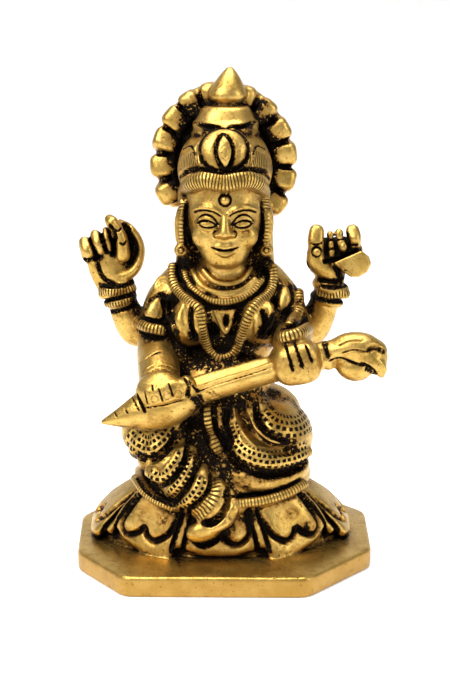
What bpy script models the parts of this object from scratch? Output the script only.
"""A seated, four-armed goddess with a stringed instrument, on a lotus and an eight-sided plinth.

The real thing is one small solid brass casting, so the model is one closed solid. It is built the
way a modeller works in wax: rounded masses are laid over each other, a voxel remesh fuses them,
grooves are pressed into the fused surface, and the result is reduced to a few thousand facets.

Sizes are in millimetres. X is to the viewer's right, Y is away from the viewer, Z is up, and the
origin is the middle of the plinth's underside. LEFT and RIGHT are the viewer's.
"""

import math

import bmesh
import bpy
import numpy as np
from mathutils import Matrix, Vector
from mathutils.bvhtree import BVHTree

MM = 0.001
LEFT, RIGHT = -1, 1

# Driving dimensions
FIGURE_HEIGHT = 95.0
PLINTH_HEIGHT = 4.0
PLINTH_BEVEL = 0.7
PLINTH_CORNERS = [
    (-18.8, -24.3), (15.2, -24.8), (28.2, -10.3), (28.9, 10.2),
    (17.0, 23.8), (-18.5, 23.8), (-29.3, 8.0), (-28.3, -11.6),
]

# The lotus: half width, half depth and height of the rings at the top and the tips of its petals
LOTUS_CENTRE = (-0.9, -1.3)
LOTUS_TOP = (16.0, 11.8, 14.5)
LOTUS_RIM = (25.0, 17.4, 6.8)
LOTUS_FALL = 1.3
# How much lower the front petals' tips are than the back ones', and how far that draws them in
LOTUS_DROP = 1.5
LOTUS_TUCK = 2.4
PETALS = 8
PETAL_CROWDING = 3.5
PETAL_SWELL = 0.7
PETAL_HALF_DEPTH = 1.25

SEAT_CENTRE = (-0.6, -0.8)
SEAT_HALF = (15.6, 12.4)
SHIN_ROLL = 0.17
TOES = 4
FINGERS = 4
HEAD_HALF_WIDTH = 7.3

# The knobs behind the head: along the rim, the first one's distance from the top, the step, and its growth
HALO_CENTRE = (-0.2, 4.6, 76.9)
HALO_HALF = (11.9, 13.9)
HALO_KNOBS = 6
HALO_STEPS = {LEFT: (2.9, 4.1, 0.12), RIGHT: (4.7, 4.6, 0.04)}

# How fine the fused surface is, how many facets are left of it, and from where edges are shaded sharp
VOXEL = 0.42
FACETS = 9200
SHARP_FROM = 40


def catmull_rom(points, steps):
    """A smooth curve through the points, with the given number of samples."""
    points = np.asarray(points, float)
    if len(points) == 2:
        share = np.linspace(0, 1, steps)[:, None]
        return points[0] * (1 - share) + points[1] * share
    ends = np.vstack([2 * points[0] - points[1], points, 2 * points[-1] - points[-2]])
    place = np.linspace(0, len(points) - 1, steps)
    span = np.minimum(place.astype(int), len(points) - 2)
    t = (place - span)[:, None]
    a, b, c, d = (ends[span + k] for k in range(4))
    bend = 2 * a - 5 * b + 4 * c - d
    twist = 3 * b - a - 3 * c + d
    return 0.5 * (2 * b + (c - a) * t + bend * t**2 + twist * t**3)


def closed_loop(points, steps):
    """A smooth closed curve through the points."""
    points = [tuple(p) for p in points]
    count = len(points)
    curve = catmull_rom(points[-2:] + points + points[:3], (count + 4) * 24 + 1)
    return resample(curve[48 : 48 + count * 24 + 1], steps + 1)[:-1]


def resample(curve, steps):
    """The same line with evenly spaced samples."""
    curve = np.asarray(curve, float)
    along = np.concatenate([[0], np.cumsum(np.linalg.norm(np.diff(curve[:, :3], axis=0), axis=1))])
    wanted = np.linspace(0, along[-1], steps)
    return np.stack([np.interp(wanted, along, column) for column in curve.T], axis=1)


def unit(vectors):
    lengths = np.linalg.norm(vectors, axis=-1, keepdims=True)
    return vectors / np.maximum(lengths, 1e-9)


def ring_of(sides, power):
    """The points of a rounded section of half size one: power 2 is a circle, more is squarer."""
    angle = np.linspace(0, 2 * np.pi, sides, endpoint=False)
    c, s = np.cos(angle), np.sin(angle)
    return np.sign(c) * np.abs(c) ** (2 / power), np.sign(s) * np.abs(s) ** (2 / power)


def skin(clay, rings, looped=False):
    """Bridges rings of points into one closed shape."""
    made = [[clay.verts.new(point) for point in ring] for ring in rings]
    count = len(made[0])
    pairs = list(zip(made, made[1:]))
    if looped:
        pairs.append((made[-1], made[0]))
    for lower, upper in pairs:
        for i in range(count):
            j = (i + 1) % count
            clay.faces.new((lower[i], lower[j], upper[j], upper[i]))
    if not looped:
        clay.faces.new(made[0][::-1])
        clay.faces.new(made[-1])


def ball(clay, centre, radii, turn=(0, 0, 0)):
    """An ellipsoid. turn is its rotation about X, Y and Z in degrees."""
    radii = (radii,) * 3 if np.isscalar(radii) else radii
    place = Matrix.Translation(centre)
    for axis, degrees in zip("XYZ", turn):
        place = place @ Matrix.Rotation(math.radians(degrees), 4, axis)
    place = place @ Matrix.Diagonal((*radii, 1))
    bmesh.ops.create_icosphere(clay, subdivisions=3, radius=1, matrix=place)


def block(clay, centre, halves, way=(0, 0, 1), facing=(0, -1, 0), power=3.2):
    """A cushion-shaped block. way is the direction of its third half size and facing that of its second."""
    way = unit(np.asarray(way, float))
    facing = np.asarray(facing, float)
    front = unit(facing - way * (facing @ way))
    axes = np.array([np.cross(front, way), front, way])
    for vert in bmesh.ops.create_icosphere(clay, subdivisions=3, radius=1)["verts"]:
        spot = np.array(vert.co)
        spot /= (np.abs(spot) ** power).sum() ** (1 / power)
        vert.co = centre + (spot * halves) @ axes


def sweep(clay, path, across, through=None, facing=None, power=2, looped=False, sides=20, dense=False):
    """A rounded rod along a path, with half sizes across and through at each point of the path.

    through is measured along facing, which is a direction or one direction for each sample.
    """
    count = len(path)
    across = [across] * count if np.isscalar(across) else across
    through = across if through is None else [through] * count if np.isscalar(through) else through
    rows = np.column_stack([np.asarray(path, float), across, through])
    if dense:
        curve = rows
    elif looped:
        curve = closed_loop(rows, max(40, 10 * count))
    else:
        curve = catmull_rom(rows, 10 * (count - 1) + 1)
    centre, wide, deep = curve[:, :3], curve[:, 3:4], curve[:, 4:5]
    if looped:
        along = unit(np.roll(centre, -1, axis=0) - np.roll(centre, 1, axis=0))
    else:
        along = unit(np.gradient(centre, axis=0))
    side, front = frames_along(along, facing)
    u, v = ring_of(sides, power)
    body = [
        centre[i] + np.outer(u * wide[i], side[i]) + np.outer(v * deep[i], front[i])
        for i in range(len(centre))
    ]
    if not looped:
        start = round_end(body, centre, along, wide, deep, -1)
        finish = round_end(body, centre, along, wide, deep, 1)
        body = start + body + finish
    skin(clay, body, looped)


def round_end(body, centre, along, wide, deep, way):
    """The shrinking rings that round off one end of a rod."""
    end = 0 if way < 0 else -1
    reach = min(float(wide[end, 0]), float(deep[end, 0]))
    rings = []
    for share in (0.35, 0.65, 0.86, 0.97):
        shrink = math.sqrt(1 - share**2)
        shift = centre[end] + way * along[end] * reach * share
        rings.append(shift + (body[end] - centre[end]) * shrink)
    return rings[::-1] if way < 0 else rings


def frames_along(along, facing):
    """Two directions square to the path at each sample: one sideways and one along facing."""
    if facing is not None:
        front = np.broadcast_to(np.asarray(facing, float), along.shape)
        front = unit(front - along * (front * along).sum(1, keepdims=True))
        return unit(np.cross(along, front)), front
    guess = np.eye(3)[np.argmin(np.abs(along[0]))]
    side = [unit(np.cross(along[0], guess))]
    for direction in along[1:]:
        carried = side[-1] - direction * (side[-1] @ direction)
        side.append(unit(carried))
    side = np.array(side)
    return side, np.cross(side, along)


def stack(clay, levels, power=2.0, sides=40):
    """Level rings on each other. A level is (height, middle x, middle y, half width, half depth)."""
    rows = catmull_rom(levels, 6 * (len(levels) - 1) + 1)
    u, v = ring_of(sides, power)
    skin(clay, [
        np.column_stack([x + u * wide, y + v * deep, np.full(sides, z)])
        for z, x, y, wide, deep in rows
    ])


def mirrored(side, *points):
    """The points with x turned to the given side."""
    return [(side * x, y, z) for x, y, z in points]


def lotus_ring(k, ring):
    """The point of a lotus ring at the middle of petal k, counted from the front, and also for halves."""
    even = 2 * math.pi / PETALS * k
    turn = even - math.radians(PETAL_CROWDING) * math.sin(even) - math.pi / 2
    wide, deep, height = ring
    x, y = LOTUS_CENTRE
    x, y = x + wide * math.cos(turn), y + deep * math.sin(turn)
    if ring is LOTUS_TOP:
        return np.array([x, y, height - LOTUS_FALL * math.sin(turn)])
    drop = LOTUS_DROP * (1 - math.sin(turn)) / 2
    return np.array([x, y + LOTUS_TUCK * drop, height - drop])


def lotus_petal(k):
    """Petal k: its top and rim points, its facing, its sideways direction and its half width."""
    top, rim = lotus_ring(k, LOTUS_TOP), lotus_ring(k, LOTUS_RIM)
    chord = lotus_ring(k + 0.5, LOTUS_RIM) - lotus_ring(k - 0.5, LOTUS_RIM)
    sideways = unit(chord)
    facing = unit(np.cross(sideways, rim - top))
    return top, rim, facing if facing[2] > 0 else -facing, sideways, np.linalg.norm(chord) / 2


def lotus(clay):
    """A low cone with a ring of broad petals that spread over the plinth, and slips between them."""
    x, y = LOTUS_CENTRE
    stack(clay, [
        (2.5, x, y + 1.5, LOTUS_RIM[0] - 1.6, LOTUS_RIM[1] - 2.2),
        (5.5, x, y + 1.4, LOTUS_RIM[0] - 1.6, LOTUS_RIM[1] - 2.2),
        (9.5, x, y + 0.6, LOTUS_RIM[0] - 3.8, LOTUS_RIM[1] - 3.8),
        (13.6, x, y, LOTUS_TOP[0] - 0.6, LOTUS_TOP[1] - 0.6),
        (15.5, x, y, LOTUS_TOP[0] - 3.0, LOTUS_TOP[1] - 3.0),
    ])
    share = np.array([0.0, 0.3, 0.6, 0.8, 0.9, 0.96, 1.0])
    outline = np.array([0.66, 0.8, 0.93, 1.0, 0.97, 0.86, 0.64])
    swell = PETAL_SWELL * np.sin(np.pi * share) - PETAL_HALF_DEPTH / 2
    for k in range(PETALS):
        top, rim, facing, _, half = lotus_petal(k)
        path = top + (rim - top) * share[:, None] + facing * swell[:, None]
        sweep(clay, path, (half - 0.85) * outline, PETAL_HALF_DEPTH, facing, power=3.2, sides=36)
        top, rim, facing, *_ = lotus_petal(k + 0.5)
        sweep(clay, [top, (top + rim) / 2, rim], [0.7, 0.85, 0.95], PETAL_HALF_DEPTH - 0.1, facing)


def lotus_grooves():
    """The heart-shaped line inside each petal, as points across and along it."""
    heart = [(0.58, 0.0), (0.66, 0.4), (0.68, 0.7), (0.42, 0.88), (0.14, 0.8), (0.02, 0.66)]
    lines = []
    for k in range(PETALS):
        top, rim, facing, sideways, half = lotus_petal(k)
        for side in (LEFT, RIGHT):
            lines.append([
                top + (rim - top) * along + sideways * side * across * half
                + facing * (PETAL_SWELL * math.sin(math.pi * along) + PETAL_HALF_DEPTH / 2)
                for across, along in heart
            ])
    return lines


def seat_and_legs(clay):
    """The folded legs under their skirt: a broad seat, the two knees and the rolls of cloth below them."""
    x, y = SEAT_CENTRE
    wide, deep = SEAT_HALF
    stack(clay, [
        (12.0, x, y - 0.6, wide - 0.6, deep + 0.2),
        (16.0, x, y - 0.6, wide, deep + 0.6),
        (20.0, x, y - 0.2, wide - 0.2, deep + 0.2),
        (25.0, x, y, wide - 0.2, deep - 0.8),
        (30.0, x, y + 0.6, wide - 2.4, deep - 2.6),
        (35.0, x, y + 0.8, wide - 7.4, deep - 4.6),
    ])
    hem = [
        (-16.4, 3.0, 15.6), (-16.6, -5.0, 17.2), (-15.4, -10.2, 16.6), (-12.8, -12.8, 15.2),
        (-9.6, -14.4, 14.2), (-4.0, -14.4, 13.4), (2.5, -14.4, 13.6), (7.4, -13.6, 14.7),
        (11.6, -12.0, 15.9), (14.4, -9.4, 17.2), (15.7, -4.6, 17.4), (15.2, 3.0, 15.8),
        (9.6, 9.6, 14.4), (0, 11.8, 14.0), (-10.4, 9.6, 14.4),
    ]
    sweep(clay, hem, 1.0, 1.05, looped=True)
    ball(clay, (8.2, -5.0, 25.6), (8.8, 9.6, 7.4), (0, 8, 0))
    ball(clay, (6.9, -1.0, 28.5), (8.0, 8.0, 6.0))
    calf = [(1.0, -12.0, 19.8), (6.0, -13.6, 18.8), (11.6, -11.6, 18.9), (14.8, -7.2, 19.6), (15.2, 0, 19.4)]
    sweep(clay, calf, [1.3, 1.7, 1.7, 1.5, 1.4])
    ball(clay, (-12.0, -6.2, 26.4), (6.7, 7.8, 6.4))
    pleated_shin(clay)
    foot = [(-0.6, -14.4, 17.6), (-0.9, -15.8, 13.7), (-3.4, -16.1, 10.7), (-6.6, -15.9, 9.8)]
    sweep(clay, foot, [1.5, 1.7, 1.6, 1.2])
    for k in range(TOES):
        ball(clay, (-7.6 + 0.4 * k, -15.5 - 0.3 * k, 11.0 - 0.6 * k), (0.9, 0.9, 0.6))


def pleated_shin(clay):
    """The near leg slants down to the middle, and its skirt lies round it in rolls with gaps between."""
    knee_to_ankle = [
        (-14.2, -7.0, 26.8), (-11.6, -9.6, 23.8), (-8.6, -11.8, 20.4),
        (-5.6, -13.2, 17.4), (-3.9, -13.4, 15.2),
    ]
    axis = resample(catmull_rom(knee_to_ankle, 61), 100)
    share = np.linspace(0, 1, 100)
    radius = np.interp(share, [0, 0.3, 0.55, 0.8, 1], [6.0, 5.7, 5.2, 4.7, 4.3])
    rolls = np.sqrt(np.abs(np.sin(np.pi * (share - 0.03) / SHIN_ROLL)))
    sweep(clay, axis, radius * (0.8 + 0.2 * rolls), dense=True, sides=32)


def torso(clay):
    """Hips, waist, chest and shoulders."""
    stack(clay, [
        (26.0, -0.5, 0.8, 14.0, 10.0),
        (31.0, -0.5, 1.0, 11.2, 8.6),
        (36.0, -0.5, 1.0, 8.8, 7.4),
        (40.0, -0.4, 1.0, 9.2, 7.4),
        (44.5, -0.3, 1.0, 11.2, 8.0),
        (49.0, -0.3, 1.0, 12.6, 7.8),
        (52.5, -0.2, 1.2, 11.8, 7.0),
        (55.5, -0.2, 1.2, 8.6, 6.0),
        (58.0, -0.2, 1.2, 5.0, 5.0),
    ])
    ball(clay, (-0.5, -4.6, 36.6), (9.6, 6.6, 5.6), (20, 0, 0))
    ball(clay, (0.5, -7.2, 31.4), (8.4, 6.0, 5.2))
    ball(clay, (-8.8, -4.0, 39.5), (3.4, 4.0, 4.4))
    for side in (LEFT, RIGHT):
        ball(clay, (side * 6.4, -5.9, 47.6), (3.9, 3.9, 4.8), (10, 0, side * 12))
    sweep(clay, [(-0.2, 0.5, 54), (-0.2, -1.0, 61)], [4.6, 4.2])


def head(clay):
    """The face, a plain calm one, with the hair and ears beside it."""
    wide = HEAD_HALF_WIDTH
    stack(clay, [
        (58.0, 0, -5.4, 1.6, 1.8),
        (59.0, 0, -4.6, 3.5, 3.5),
        (60.9, 0, -3.5, 5.1, 5.1),
        (63.2, 0, -2.5, 6.3, 6.3),
        (66.0, 0, -1.8, wide - 0.3, 7.0),
        (69.0, 0, -1.5, wide, 7.5),
        (73.0, 0, -1.2, wide, 7.6),
        (77.0, 0, -0.8, wide, 7.4),
        (80.0, 0, -0.6, wide - 1.5, 6.0),
    ], power=2.2)
    ball(clay, (0, 2.4, 66.5), (7.4, 5.6, 9.5))
    ball(clay, (0, 2.6, 58.0), (7.4, 4.4, 7.0))
    sweep(clay, [(0, -8.4, 69.4), (0, -9.6, 66.4), (0, -10.2, 64.6)], [0.7, 0.95, 1.2])
    for side in (LEFT, RIGHT):
        ball(clay, (side * 1.25, -9.2, 64.3), (0.85, 0.9, 0.7))
        ball(clay, (side * 3.4, -7.9, 67.0), (1.9, 1.2, 0.95), (0, side * 6, side * 22))
        sweep(clay, mirrored(side, (0.9, -8.9, 69.6), (3.4, -8.5, 70.8), (6.0, -6.2, 69.6)), 0.5)
        ear = mirrored(side, (7.4, -1.6, 70.0), (7.8, -1.6, 66.4), (7.7, -2.0, 62.0))
        sweep(clay, ear, [1.1, 1.4, 1.0], [1.6, 2.0, 1.2], (0, -1, 0))
        ball(clay, (side * 7.9, -2.4, 59.4), 1.75)
        sweep(clay, mirrored(side, (7.0, 0.6, 68.0), (7.2, 0.4, 62.0), (7.6, 0.6, 56.0)), 2.0)
    sweep(clay, [(-2.0, -8.0, 62.1), (0, -9.0, 62.5), (2.0, -8.0, 62.1)], 0.6)
    sweep(clay, [(-1.6, -8.0, 61.4), (0, -8.9, 61.1), (1.6, -8.0, 61.4)], 0.65)
    ball(clay, (0, -7.2, 59.3), (1.7, 1.5, 1.3))


def crown(clay):
    """A roll across the forehead, a tall cap with a round crest in front, a collar and a finial."""
    roll = [(-8.0, -2.4, 69.4), (-7.6, -5.6, 72.2), (-4.4, -8.8, 73.9), (0, -9.8, 73.7)]
    roll += [(-x, y, z) for x, y, z in roll[-2::-1]]
    sweep(clay, roll, [1.2, 1.4, 1.6, 1.5, 1.6, 1.4, 1.2], 1.0, (0, -1, 0.2))
    stack(clay, [
        (73.0, 0, -1.0, 8.4, 7.6),
        (75.5, 0, -1.0, 8.9, 8.1),
        (78.0, 0, -0.7, 8.6, 7.8),
        (80.4, 0, -0.3, 7.6, 6.9),
        (82.0, 0.1, 0.2, 6.2, 5.7),
        (83.6, 0.1, 0.6, 4.6, 4.3),
    ])
    stack(clay, [
        (82.9, 0.1, 0.7, 4.9, 4.5),
        (83.4, 0.1, 0.7, 6.1, 5.4),
        (84.5, 0.1, 0.8, 6.1, 5.4),
        (84.9, 0.1, 0.9, 5.5, 4.9),
        (86.9, 0.2, 1.0, 4.5, 4.0),
        (87.5, 0.2, 1.0, 3.8, 3.5),
    ], power=2.3)
    stack(clay, [(86.5, 0.3, 1.2, 2.8, 2.7), (88.6, 0.4, 1.4, 2.5, 2.4)])
    stack(clay, [
        (88.0, 0.4, 1.4, 2.3, 2.2),
        (88.7, 0.4, 1.4, 3.3, 3.1),
        (89.7, 0.5, 1.4, 3.7, 3.5),
        (91.3, 0.6, 1.5, 3.0, 2.9),
        (93.2, 0.8, 1.6, 1.8, 1.7),
        (FIGURE_HEIGHT - 0.2, 0.9, 1.7, 0.5, 0.5),
    ])
    ball(clay, (-0.1, -6.3, 79.3), (5.0, 2.9, 4.9), (-12, 0, 0))
    jewel = [(-0.1, -9.4, 76.4), (-0.1, -9.6, 79.2), (-0.2, -8.8, 82.4)]
    sweep(clay, jewel, [0.5, 1.4, 0.4], 0.8, (0, -1, 0.2))
    for side in (LEFT, RIGHT):
        sweep(clay, mirrored(side, (4.2, -7.0, 82.0), (6.2, -6.2, 79.6), (5.4, -7.4, 76.2)), [0.5, 0.9, 0.5])


def halo_point(side, reach):
    """The point of the halo's rim at a distance along it from the top, and the way out from there."""
    wide, tall = HALO_HALF
    turn = np.linspace(0, np.pi, 400)
    rim = np.column_stack([wide * np.sin(turn), tall * np.cos(turn)])
    along = np.concatenate([[0], np.cumsum(np.linalg.norm(np.diff(rim, axis=0), axis=1))])
    across, up = (np.interp(reach, along, part) for part in rim.T)
    x, y, z = HALO_CENTRE
    return np.array([x + side * across, y, z + up]), unit(np.array([side * across, 0, up]))


def knob_reach(side, k):
    """How far along the rim knob k sits. Halves are the gaps between the knobs."""
    first, step, growth = HALO_STEPS[side]
    return first + step * k + growth * k * k


def halo(clay):
    """A plate behind the head with a rim of blunt knobs."""
    x, y, z = HALO_CENTRE
    wide, high = HALO_HALF
    ball(clay, (x, y + 0.6, z), (wide * 0.97, 1.7, high * 0.97))
    rim = [
        (x + wide * 0.96 * math.sin(turn), y + 0.8, z + high * 0.96 * math.cos(turn))
        for turn in np.linspace(-2.2, 2.2, 19)
    ]
    sweep(clay, rim, 1.6, 1.2, (0, -1, 0))
    for side in (LEFT, RIGHT):
        for k in range(HALO_KNOBS):
            tip, out = halo_point(side, knob_reach(side, k))
            size = min(1, 0.72 + 0.14 * k)
            tall = 2.0 + 0.6 * size
            lean = 0.34 * math.sin(5.1 * k + side)
            centre = tip + out * (min(2.2, 1.3 + 0.25 * k) - tall)
            halves = (2.3 * size, 2.4, tall)
            block(clay, centre, halves, out, (0.6 * lean, -1, lean), power=3.6)


def halo_grooves():
    """The gaps between the knobs, on the halo's front."""
    lines = []
    for side in (LEFT, RIGHT):
        for k in range(HALO_KNOBS):
            tip, out = halo_point(side, knob_reach(side, k + 0.5))
            front = tip + np.array([0, -1.9, 0])
            lines.append([front - out * 4.2, front + out * 1.4])
    return lines


def front_arms(clay):
    """The near pair of arms, whose fists close round the instrument."""
    left = [
        (-8.0, 1.6, 53.9), (-11.0, 0.2, 50.0), (-12.4, -1.6, 45.0), (-12.9, -4.0, 41.4),
        (-12.4, -9.0, 39.4), (-12.2, -13.4, 37.6),
    ]
    right = [
        (7.7, 1.6, 53.9), (10.6, 0.2, 50.0), (12.4, -1.8, 45.4), (12.6, -6.0, 44.6),
        (12.6, -11.0, 45.4), (12.4, -14.0, 45.0),
    ]
    sweep(clay, left, [4.2, 4.4, 4.2, 3.9, 4.0, 3.7])
    sweep(clay, right, [4.2, 4.4, 4.2, 4.0, 3.6, 3.4])
    fist(clay, (-12.0, -15.4, 36.8), (4.7, 3.4, 3.9), 14)
    fist(clay, (12.6, -15.2, 42.4), (5.0, 3.6, 4.3), 14)
    band(clay, (-12.2, -2.2, 46.2), (0.2, 0.3, -1), 4.4, 0.7)
    band(clay, (12.2, -2.6, 46.0), (-0.2, 0.3, -1), 4.6, 0.7)


def fist(clay, centre, half, tilt):
    """A closed hand seen from its knuckles: a rounded block of four fingers."""
    x, y, z = centre
    wide, deep, tall = half
    ball(clay, centre, (wide * 0.96, deep, tall * 0.94), (0, -tilt, 0))
    lean = math.radians(tilt)
    for k in range(FINGERS):
        shift = (k - 1.5) * wide * 0.48
        x_mid, z_mid = x + shift * math.cos(lean), z + shift * math.sin(lean)
        top = (x_mid - 0.2 * tall, y + 0.1 * deep, z_mid + 0.62 * tall)
        mid = (x_mid, y - 0.72 * deep, z_mid)
        low = (x_mid + 0.2 * tall, y - 0.2 * deep, z_mid - 0.66 * tall)
        sweep(clay, [top, mid, low], [wide * 0.25, wide * 0.28, wide * 0.25])


def band(clay, centre, axis, radius, half):
    """A ring worn round a limb."""
    lying = Vector(axis).to_track_quat("Z", "Y")
    loop = [
        tuple(Vector(centre) + lying @ Vector((radius * math.cos(turn), radius * math.sin(turn), 0)))
        for turn in np.linspace(0, 2 * np.pi, 12, endpoint=False)
    ]
    sweep(clay, loop, half, half, axis, looped=True, sides=12)


def rear_arms(clay):
    """The far pair, raised at the sides: a ring of beads in one hand and a book in the other."""
    for side, out in ((LEFT, 0.5), (RIGHT, -0.1)):
        arm = mirrored(
            side, (7.0, 3.4, 51.6), (12.4 + out, 3.4, 46.4), (16.4 + out, 2.8, 44.2),
            (18.4 + out, 2.0, 47.4), (19.6 + out, 1.2, 51.4), (20.6 + out, 0.8, 55.6),
        )
        sweep(clay, arm, [3.9, 3.8, 3.4, 3.2, 2.9, 2.7])
        band(clay, (side * (19.8 + out), 1.2, 50.8), (side * 0.3, 0, 1), 2.8, 0.75)
        band(clay, (side * (20.5 + out), 1.0, 53.6), (side * 0.25, 0, 1), 2.8, 0.95)
    ring_hand(clay)
    book_hand(clay)


def ring_hand(clay):
    """The left raised hand: a curved palm, a bent forefinger and the other fingers folded beside it."""
    ball(clay, (-21.8, 0.6, 57.4), (4.6, 2.2, 4.2))
    curve = [
        (-21.4, 0.2, 66.2), (-18.8, 0.2, 64.8), (-16.5, 0.2, 61.6), (-16.5, 0.0, 58.2),
        (-18.6, -0.4, 55.8), (-21.8, -0.6, 55.6), (-24.6, -0.6, 58.2),
    ]
    sweep(clay, curve, [0.9, 1.0, 1.2, 1.5, 2.0, 2.0, 1.5], [1.5, 1.6, 1.7, 1.9, 2.0, 1.8, 1.4], (0, -1, 0))
    web = [(-20.4, 1.2, 64.5), (-18.7, 1.2, 62.5), (-18.4, 1.2, 60.2)]
    sweep(clay, web, [1.2, 2.0, 1.8], 0.9, (0, -1, 0))
    forefinger = [(-22.0, -0.4, 66.0), (-20.6, -1.2, 63.6), (-19.5, -1.4, 61.0), (-20.0, -1.2, 59.2)]
    sweep(clay, forefinger, [1.0, 1.3, 1.35, 1.1])
    for k in range(FINGERS - 1):
        folded = [
            (-22.6 - 1.75 * k, 0.4, 58.6),
            (-23.1 - 1.65 * k, -1.0, 61.2 - 0.6 * k),
            (-22.8 - 1.6 * k, -0.2, 64.0 - 0.8 * k),
        ]
        sweep(clay, folded, [0.9, 1.0, 0.85])


def book_hand(clay):
    """The right raised hand: four fingers up and a small book held across the palm."""
    palm = [(20.4, 0.8, 54.8), (19.8, 0.4, 58.2), (20.4, 0.6, 61.0)]
    sweep(clay, palm, [2.7, 3.9, 3.7], [2.0, 2.3, 1.9], (0, -1, 0))
    sweep(clay, [(17.0, -0.6, 58.4), (16.6, -1.2, 61.6), (17.2, -1.0, 64.5)], [1.6, 1.5, 1.5])
    for x, top, half in ((20.0, 63.4, 0.9), (22.0, 63.6, 1.0), (24.5, 64.6, 1.3)):
        sweep(clay, [(x, 0.6, 59.0), (x, -0.6, 61.4), (x, -0.2, top)], half)
    sweep(clay, [(21.8, -2.0, 56.4), (26.2, -2.0, 58.9)], [2.4, 2.6], 1.5, (-0.1, -1, 0.1), power=5)


def instrument(clay):
    """The veena: a pointed tail, a swollen bowl, a facetted neck and a scrolled head."""
    bowl = [
        (-22.6, -14.6, 30.7), (-19.4, -15.0, 31.6), (-14.8, -15.2, 32.9),
        (-10.2, -14.8, 34.2), (-5.2, -14.4, 36.4),
    ]
    sweep(clay, bowl, [0.5, 1.9, 3.9, 4.1, 2.9], [0.6, 1.7, 3.1, 3.3, 2.4], (0, -1, 0), power=1.7)
    neck = [(-6.0, -14.4, 36.4), (1.6, -14.8, 38.8), (8.4, -15.0, 40.8), (18.4, -15.0, 43.0)]
    sweep(clay, neck, [2.8, 2.7, 2.6, 2.1], [2.3, 2.2, 2.2, 1.9], (0, -1, 0), power=1.6)
    ball(clay, (18.9, -14.8, 43.0), (0.9, 2.4, 2.6), (0, -14, 0))
    scroll = [
        (18.4, -14.8, 43.6), (22.0, -14.6, 44.7), (25.8, -14.4, 44.6),
        (28.0, -14.2, 42.6), (28.0, -14.4, 40.0),
    ]
    sweep(clay, scroll, [2.1, 2.8, 2.7, 2.0, 0.9], [2.2, 2.8, 2.8, 2.2, 1.2], (0, -1, 0))
    ball(clay, (23.4, -14.6, 41.3), (3.8, 2.6, 3.0), (0, 20, 0))


def garlands(clay, front):
    """The necklaces and the sash, each laid on the body by its height and width."""
    rope = [
        (-9.4, 58.7), (-8.7, 54.9), (-6.7, 52.3), (-4.5, 50.2), (-3.9, 47.2), (-3.2, 43.9), (-1.8, 41.6),
        (0.2, 41.2), (2.2, 43.2), (3.6, 46.6), (4.5, 50.0), (6.5, 52.6), (8.0, 55.7), (8.7, 58.9),
    ]
    collar = [(-7.4, 57.6), (-6.1, 55.0), (-3.3, 53.0), (0.2, 52.4), (3.9, 53.4), (6.4, 55.6), (7.5, 58.0)]
    choker = [(-5.7, 57.7), (-3.3, 55.2), (0.0, 54.4), (3.4, 55.2), (5.4, 57.5)]
    sash = [(-3.6, 35.0), (-3.2, 29.0), (-1.9, 26.2), (-0.9, 24.0)]
    for line, thick, lift in ((rope, 0.85, 0.3), (collar, 0.7, 0.25), (choker, 0.65, 0.3), (sash, 0.9, 0.3)):
        sweep(clay, laid_on(front, line, lift, 90), thick, thick * 0.9, (0, -1, 0), dense=True)


def laid_on(front, outline, lift, steps):
    """A line given by x and z, brought onto the front of the body and raised by lift."""
    flat = resample(catmull_rom(outline, 12 * len(outline)), steps)
    depth = np.array([front(x, z) for x, z in flat])
    padded = np.pad(depth, 3, mode="edge")
    depth = np.mean([padded[k : k + len(depth)] for k in range(7)], axis=0)
    return np.column_stack([flat[:, 0], depth - lift, flat[:, 1]])


def front_of(clay):
    """A function that gives the y of the shape's front at x and z."""
    tree = BVHTree.FromBMesh(clay)

    def depth(x, z):
        hit = tree.ray_cast(Vector((x, -60, z)), Vector((0, 1, 0)))[0]
        return hit.y if hit else 0.0

    return depth


def press(points, line, width, depth):
    """How far each point near a line is pressed in: a rounded valley that fades out at both ends."""
    line = resample(catmull_rom(line, 16 * len(line)), 80)
    low, high = line.min(0) - width, line.max(0) + width
    near = np.flatnonzero(((points > low) & (points < high)).all(1))
    cut = np.zeros(len(points))
    if len(near) == 0:
        return cut
    gap = np.linalg.norm(points[near, None, :] - line[None], axis=2)
    closest = gap.argmin(1)
    distance = gap.min(1) / width
    fade = np.minimum(1, np.minimum(closest, len(line) - 1 - closest) / 6)
    cut[near] = depth * np.clip(1 - distance**2, 0, 1) * fade
    return cut


def skirt_grooves(front):
    """The hanging folds over the right knee, as widening curves one below the other."""
    folds = [
        ([(5.6, 32.6), (6.0, 29.4), (8.6, 27.2), (12.0, 26.6)], 0.8),
        ([(2.2, 31.6), (2.8, 28.2), (6.2, 25.6), (11.2, 25.0), (13.6, 25.6)], 0.9),
        ([(0.4, 27.0), (2.4, 23.2), (7.2, 21.4), (11.4, 22.0), (14.8, 24.0)], 0.9),
    ]
    return [(laid_on(front, outline, 0.0, 60), width) for outline, width in folds]


def fused(clay, name, voxel):
    """One closed mesh from the overlapping shapes: a voxel remesh, then a light smoothing."""
    bmesh.ops.recalc_face_normals(clay, faces=clay.faces)
    mesh = bpy.data.meshes.new(name)
    clay.to_mesh(mesh)
    body = bpy.data.objects.new(name, mesh)
    bpy.context.scene.collection.objects.link(body)
    remesh = body.modifiers.new("Fuse", "REMESH")
    remesh.mode = "VOXEL"
    remesh.voxel_size = voxel
    soften = body.modifiers.new("Soften", "SMOOTH")
    soften.factor = 0.5
    soften.iterations = 2
    return applied(body)


def applied(body):
    """The object with its modifiers worked into its mesh."""
    bpy.context.view_layer.update()
    graph = bpy.context.evaluated_depsgraph_get()
    mesh = bpy.data.meshes.new_from_object(body.evaluated_get(graph))
    body.modifiers.clear()
    body.data = mesh
    return body


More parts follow.
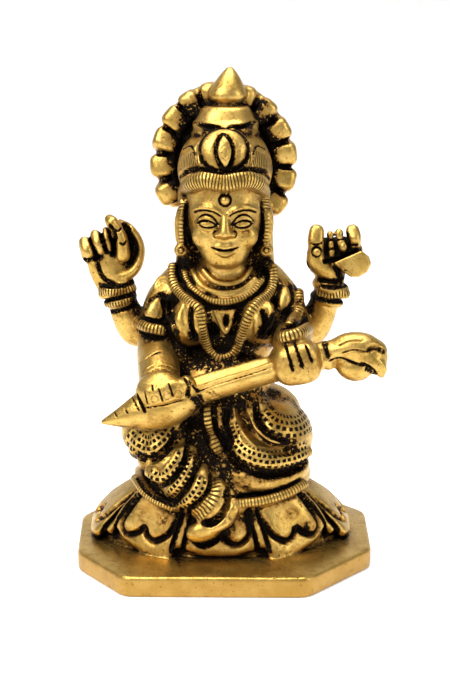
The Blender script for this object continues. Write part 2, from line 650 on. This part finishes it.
def carve(body, front):
    """Presses the lotus hearts, the gaps of the halo and the skirt's folds into the fused surface."""
    mesh = body.data
    points = np.empty(len(mesh.vertices) * 3)
    mesh.vertices.foreach_get("co", points)
    points = points.reshape(-1, 3)
    normals = np.empty(len(mesh.vertices) * 3, np.float32)
    mesh.vertices.foreach_get("normal", normals)
    normals = normals.reshape(-1, 3)
    cut = np.zeros(len(points))
    grooves = [(line, 1.0, 1.1) for line in lotus_grooves()]
    grooves += [(line, 0.8, 1.3) for line in halo_grooves()]
    grooves += [(line, width, width * 1.1) for line, width in skirt_grooves(front)]
    for line, width, depth in grooves:
        cut = np.maximum(cut, press(points, line, width, depth))
    mesh.vertices.foreach_set("co", (points - normals * cut[:, None]).ravel())
    mesh.update()


def reduced(body, facets):
    """The object with about the given number of triangles."""
    body.data.calc_loop_triangles()
    thin = body.modifiers.new("Reduce", "DECIMATE")
    thin.ratio = facets / len(body.data.loop_triangles)
    thin.use_collapse_triangulate = True
    return applied(body)


def keep_largest_shell(body):
    """Removes the small closed pockets that a remesh leaves inside overlapping shapes."""
    clay = bmesh.new()
    clay.from_mesh(body.data)
    left, shells = set(clay.verts), []
    while left:
        shell, edge = set(), [left.pop()]
        while edge:
            vertex = edge.pop()
            shell.add(vertex)
            for other in (link.other_vert(vertex) for link in vertex.link_edges):
                if other in left:
                    left.discard(other)
                    edge.append(other)
        shells.append(shell)
    largest = max(shells, key=len)
    bmesh.ops.delete(clay, geom=[v for v in clay.verts if v not in largest], context="VERTS")
    clay.to_mesh(body.data)
    clay.free()


def plinth():
    """The flat eight-sided plate, as a helper that is joined to the figure."""
    clay = bmesh.new()
    corners = [clay.verts.new((x, y, 0)) for x, y in PLINTH_CORNERS]
    clay.faces.new(corners)
    walls = bmesh.ops.extrude_face_region(clay, geom=clay.faces[:])
    raised = [v for v in walls["geom"] if isinstance(v, bmesh.types.BMVert)]
    bmesh.ops.translate(clay, vec=(0, 0, PLINTH_HEIGHT), verts=raised)
    rim = [e for e in clay.edges if all(v.co.z > PLINTH_HEIGHT / 2 for v in e.verts)]
    uprights = [e for e in clay.edges if abs(e.verts[0].co.z - e.verts[1].co.z) > PLINTH_HEIGHT / 2]
    bmesh.ops.bevel(clay, geom=rim + uprights, offset=PLINTH_BEVEL, segments=2, affect="EDGES", profile=0.5)
    bmesh.ops.recalc_face_normals(clay, faces=clay.faces)
    mesh = bpy.data.meshes.new("plinth")
    clay.to_mesh(mesh)
    clay.free()
    plate = bpy.data.objects.new("plinth", mesh)
    bpy.context.scene.collection.objects.link(plate)
    plate.hide_render = True
    plate.display_type = "WIRE"
    return plate


def brass():
    """Old cast brass, polished where it is touched."""
    material = bpy.data.materials.new("brass")
    material.use_nodes = True
    shader = material.node_tree.nodes["Principled BSDF"]
    shader.inputs["Base Color"].default_value = (0.72, 0.49, 0.17, 1)
    shader.inputs["Metallic"].default_value = 1.0
    shader.inputs["Roughness"].default_value = 0.34
    return material


def main():
    for old in list(bpy.data.objects):
        bpy.data.objects.remove(old)
    clay = bmesh.new()
    for part in (lotus, seat_and_legs, torso, head, crown, halo):
        part(clay)
    front = front_of(clay)
    garlands(clay, front)
    for part in (front_arms, rear_arms, instrument):
        part(clay)
    figure = fused(clay, "saraswati_figure", VOXEL)
    clay.free()
    keep_largest_shell(figure)
    carve(figure, front)
    reduced(figure, FACETS)
    base = plinth()
    join = figure.modifiers.new("Plinth", "BOOLEAN")
    join.operation = "UNION"
    join.object = base
    applied(figure)
    for body in (figure, base):
        body.data.transform(Matrix.Scale(MM, 4))
    figure.data.materials.clear()
    figure.data.materials.append(brass())
    figure.data.shade_smooth()
    figure.data.set_sharp_from_angle(angle=math.radians(SHARP_FROM))


main()
